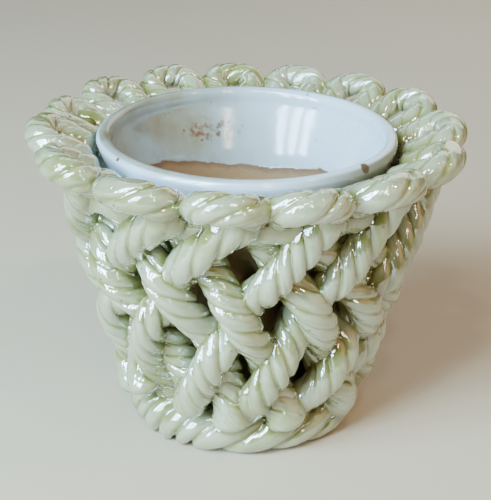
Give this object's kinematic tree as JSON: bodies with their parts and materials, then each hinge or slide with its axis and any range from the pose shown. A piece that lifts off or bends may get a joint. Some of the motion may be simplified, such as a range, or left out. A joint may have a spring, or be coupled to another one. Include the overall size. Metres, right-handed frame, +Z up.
{
  "type": "planter",
  "caption": "Glazed openwork planter: a flared basket woven from twisted clay ropes on a ring foot, a crown of loops round its rim and a loose round inner pot that lifts out.",
  "frame": {"origin": "middle of the underside of the foot, on the ground", "axes": "+Z up along the axis of the pot, -Y towards the side seen in the picture, +X to the viewer's right"},
  "size_m": [0.1812, 0.1797, 0.131],
  "materials": {
    "cream_glaze": "glossy cream glaze, greener where it pools between the strands",
    "white_glaze": "glossy bluish white glaze, stained inside"
  },
  "bodies": {
    "basket": {"foot_rope": "cream_glaze", "floor_slab": "cream_glaze", "right_rope_01": "cream_glaze", "right_rope_02": "cream_glaze", "right_rope_03": "cream_glaze", "right_rope_04": "cream_glaze", "right_rope_05": "cream_glaze", "right_rope_06": "cream_glaze", "right_rope_07": "cream_glaze", "right_rope_08": "cream_glaze", "right_rope_09": "cream_glaze", "right_rope_10": "cream_glaze", "right_rope_11": "cream_glaze", "right_rope_12": "cream_glaze", "right_rope_13": "cream_glaze", "left_rope_01": "cream_glaze", "left_rope_02": "cream_glaze", "left_rope_03": "cream_glaze", "left_rope_04": "cream_glaze", "left_rope_05": "cream_glaze", "left_rope_06": "cream_glaze", "left_rope_07": "cream_glaze", "left_rope_08": "cream_glaze", "left_rope_09": "cream_glaze", "left_rope_10": "cream_glaze", "left_rope_11": "cream_glaze", "left_rope_12": "cream_glaze", "left_rope_13": "cream_glaze", "rim_band": "cream_glaze", "crown_loop_01": "cream_glaze", "crown_loop_02": "cream_glaze", "crown_loop_03": "cream_glaze", "crown_loop_04": "cream_glaze", "crown_loop_05": "cream_glaze", "crown_loop_06": "cream_glaze", "crown_loop_07": "cream_glaze", "crown_loop_08": "cream_glaze", "crown_loop_09": "cream_glaze", "crown_loop_10": "cream_glaze", "crown_loop_11": "cream_glaze", "crown_loop_12": "cream_glaze", "crown_loop_13": "cream_glaze", "crown_loop_14": "cream_glaze", "crown_loop_15": "cream_glaze"},
    "pot": {"liner_pot": "white_glaze"}
  },
  "joints": [
    {"name": "pot_lift", "type": "slide", "parent": "basket", "child": "pot", "axis": [0, 0, 1], "range_m": [0, 0.14]}
  ]
}
